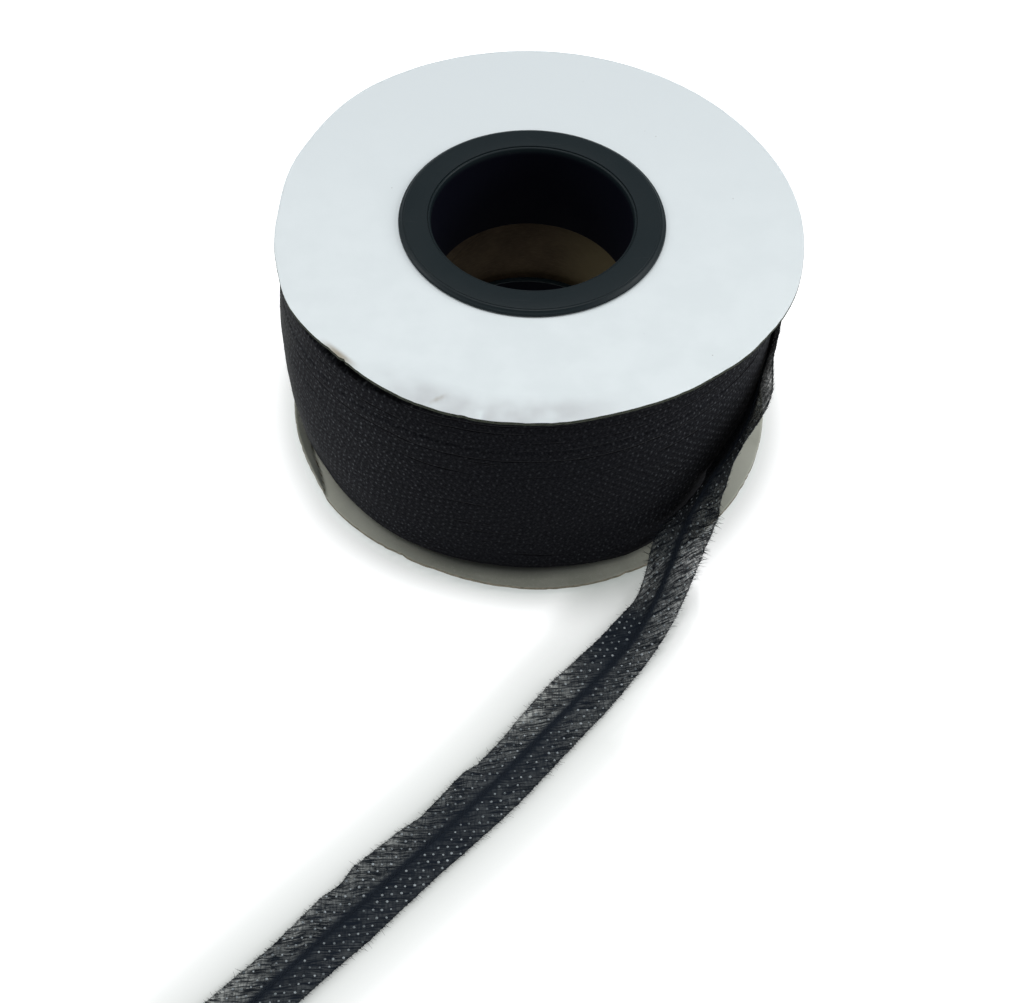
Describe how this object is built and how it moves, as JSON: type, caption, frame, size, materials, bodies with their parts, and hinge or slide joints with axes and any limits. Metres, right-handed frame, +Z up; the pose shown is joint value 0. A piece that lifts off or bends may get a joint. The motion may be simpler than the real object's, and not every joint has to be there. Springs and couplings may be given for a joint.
{
  "type": "roll of fusible bias tape",
  "caption": "Roll of narrow black fusible tape wound between two board discs on a plastic-lined core, with a loose end lying in front.",
  "frame": {"origin": "bottom centre of the whole part's bounding box, on the surface that the spool stands on", "axes": "+Z up along the spool's axis, +Y to the back, away from the loose end, +X to the right"},
  "size_m": [0.1086, 0.2058, 0.0552],
  "materials": {
    "white_board": "matt white paper face on thin board, worn at its rim",
    "grey_board": "bare grey chipboard with a nicked rim",
    "kraft_board": "wound brown paper tube",
    "black_plastic": "satin moulded plastic with fine scratches",
    "black_gauze": "fine open weave with rows of clear glue dots"
  },
  "bodies": {
    "root": {"bottom_bushing": "black_plastic", "bottom_flange": "grey_board", "core_tube": "kraft_board", "tape_roll": "black_gauze", "tape_tail": "black_gauze", "top_flange": "white_board", "top_bushing": "black_plastic"}
  },
  "joints": []
}
